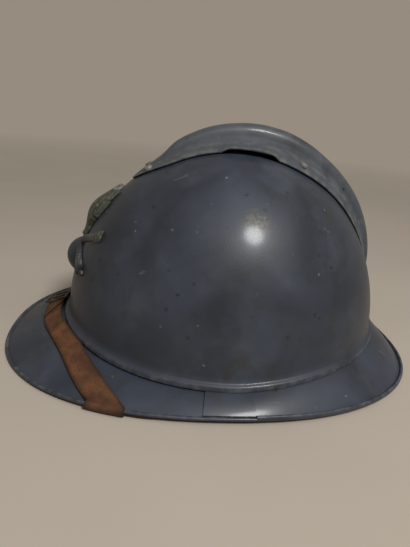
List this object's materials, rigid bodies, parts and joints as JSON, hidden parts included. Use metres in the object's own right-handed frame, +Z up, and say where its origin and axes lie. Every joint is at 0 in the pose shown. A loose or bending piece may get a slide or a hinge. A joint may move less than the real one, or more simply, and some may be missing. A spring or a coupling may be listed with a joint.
{
  "type": "adrian helmet",
  "caption": "Stamped steel helmet with a crested crown, a two-piece brim, a bare grenade badge, a leather chin strap on swinging rings and a leather liner.",
  "frame": {"origin": "middle of the helmet's footprint, on the surface that its brim rests on", "axes": "-Y towards the visor, +X to the wearer's left, +Z up to the crown"},
  "size_m": [0.215, 0.2929, 0.1571],
  "materials": {
    "shell_paint": "satin",
    "rivet_paint": "satin",
    "steel": "satin",
    "aluminium": "satin",
    "strap_leather": "satin",
    "liner_leather": "matte",
    "felt": "matte",
    "cotton": "matte"
  },
  "bodies": {
    "shell": {"skull": "shell_paint", "visor": "shell_paint", "neck_guard": "shell_paint", "crest": "shell_paint", "crest_rivets": "rivet_paint", "badge": "shell_paint", "badge_prongs": "steel", "chin_strap": "strap_leather", "strap_lug_left": "steel", "strap_lug_right": "steel", "liner_felt": "felt", "liner_sweatband": "liner_leather", "liner_lace": "cotton", "liner_tongue_1": "liner_leather", "liner_tongue_2": "liner_leather", "liner_tongue_3": "liner_leather", "liner_tongue_4": "liner_leather", "liner_tongue_5": "liner_leather", "liner_tongue_6": "liner_leather", "liner_tongue_7": "liner_leather", "liner_spacer_front": "aluminium", "liner_spacer_rear": "aluminium", "liner_spacer_left": "aluminium", "liner_spacer_right": "aluminium", "liner_tab_1": "steel", "liner_tab_2": "steel", "liner_tab_3": "steel", "liner_tab_4": "steel"},
    "buckle": {"strap_buckle": "steel"},
    "ring_left": {"strap_ring_left": "steel"},
    "ring_right": {"strap_ring_right": "steel"}
  },
  "joints": [
    {"name": "buckle_slide", "type": "hinge", "parent": "shell", "child": "buckle", "pos_m": [0, -0.0465, 0.02], "axis": [0, 0, 1], "range_deg": [-5, 6]},
    {"name": "ring_left_swing", "type": "hinge", "parent": "shell", "child": "ring_left", "pos_m": [0.08236, -0.02883, 0.02], "axis": [0.2756, 0.9613, 0], "range_deg": [0, 9]},
    {"name": "ring_right_swing", "type": "hinge", "parent": "shell", "child": "ring_right", "pos_m": [-0.08236, -0.02883, 0.02], "axis": [0.2756, -0.9613, 0], "range_deg": [0, 9]}
  ]
}
